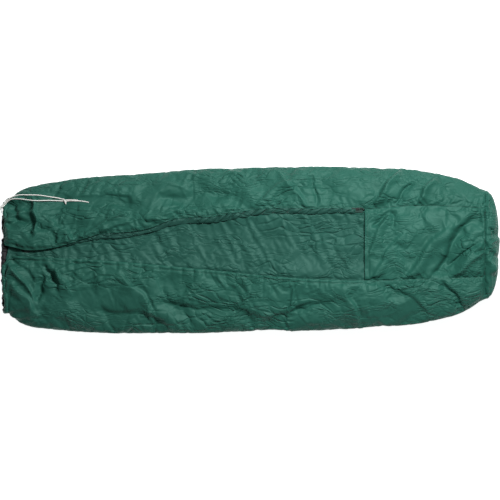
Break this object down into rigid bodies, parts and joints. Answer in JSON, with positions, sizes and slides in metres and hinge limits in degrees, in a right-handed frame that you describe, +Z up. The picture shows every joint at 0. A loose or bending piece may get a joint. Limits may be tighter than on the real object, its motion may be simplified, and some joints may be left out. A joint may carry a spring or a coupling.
{
  "type": "bivy sack",
  "caption": "Full-length fabric bivy sack laid flat, with a zipped centre-front opening, a drawcord hem at the head and a boxed foot.",
  "frame": {"origin": "centre of the sack's footprint, on the floor it lies on", "axes": "+X from the head opening to the boxed foot, +Y from the seam side to the zip side, +Z up out of the front face"},
  "size_m": [2.1994, 0.7369, 0.1248],
  "materials": {
    "shell": "thin crinkled nylon with a soft sheen",
    "lining": "matt black woven lining",
    "seam_tape": "thin welded tape",
    "zip_tape": "woven tape",
    "zip_coil": "nylon coil",
    "zip_metal": "dull nickel",
    "cord": "braided white cord"
  },
  "bodies": {
    "root": {"floor_panel": "shell", "zip_side_panel": "shell", "seam_side_panel": "shell", "centre_panel": "shell", "foot_panel": "shell", "foot_panel_hem": "shell", "foot_end_panel": "shell", "hood_hem": "shell", "floor_lining": "lining", "zip_side_lining": "lining", "seam_side_lining": "lining", "centre_lining": "lining", "foot_lining": "lining", "foot_end_lining": "lining", "seam_tape_lower": "seam_tape", "seam_tape_foot_upper": "seam_tape", "seam_tape_foot_edge": "seam_tape", "seam_tape_foot_end": "seam_tape", "zip_tape_lower": "zip_tape", "zip_tape_upper_end": "zip_tape", "zip_coil_lower": "zip_coil", "zip_coil_upper_end": "zip_coil", "zip_bottom_stop": "zip_metal", "zip_top_stop_lower": "zip_metal", "eyelet_lower": "zip_metal", "eyelet_upper": "zip_metal", "drawcord_in_hem": "cord", "drawcord_upper_strand": "cord", "drawcord_lower_strand": "cord"},
    "front_flap": {"flap_panel": "shell", "flap_lining": "lining", "flap_hem": "shell", "zip_placket": "shell", "zip_tape_upper": "zip_tape", "zip_coil_upper": "zip_coil", "zip_top_stop_upper": "zip_metal", "drawcord_in_flap": "cord"},
    "slider": {"zip_slider": "zip_metal"},
    "pull_tab": {"zip_pull": "zip_metal"},
    "cord_end": {"drawcord_knot": "cord", "drawcord_short_tail": "cord", "drawcord_long_tail": "cord"}
  },
  "joints": [
    {"name": "flap_fold", "type": "hinge", "parent": "root", "child": "front_flap", "pos_m": [-1.079, 0.165, 0.08169], "axis": [-0.9993, -0.0249, -0.0261], "range_deg": [0, 150]},
    {"name": "zip_travel", "type": "hinge", "parent": "root", "child": "slider", "pos_m": [0.357, -4.9175, 0.11195], "axis": [-0.0203, 0, 0.9998], "range_deg": [0, 16.6]},
    {"name": "pull_swing", "type": "hinge", "parent": "slider", "child": "pull_tab", "pos_m": [0.47691, 0.18109, 0.11858], "axis": [0.0235, 0.9997, 0.0005], "range_deg": [0, 170]},
    {"name": "drawcord_pull", "type": "slide", "parent": "root", "child": "cord_end", "axis": [0.9994, -0.0011, 0.0343], "range_m": [0, 0.15]}
  ]
}
